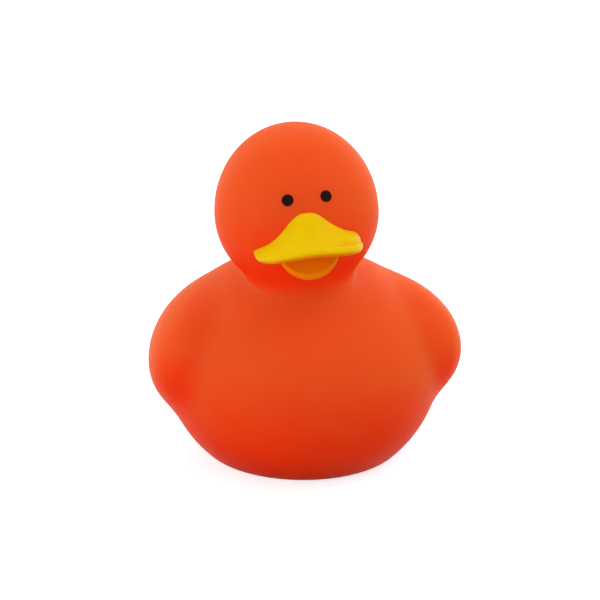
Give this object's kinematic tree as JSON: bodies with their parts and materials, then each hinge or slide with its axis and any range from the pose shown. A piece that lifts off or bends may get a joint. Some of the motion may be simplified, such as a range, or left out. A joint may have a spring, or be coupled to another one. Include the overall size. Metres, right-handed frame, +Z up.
{
  "type": "rubber duck",
  "caption": "Hollow vinyl bath duck moulded in one piece: round body with side wings and upturned tail, tilted head, open painted bill and painted eyes, on a flat vented base.",
  "frame": {"origin": "on the plane that the flat base stands on, below the middle of the duck's box", "axes": "+Z up, -Y the way the bill points, +X towards the duck's own left wing"},
  "size_m": [0.0772, 0.085, 0.0858],
  "materials": {
    "vinyl": "satin"
  },
  "bodies": {
    "root": {"duck": "vinyl"}
  },
  "joints": []
}
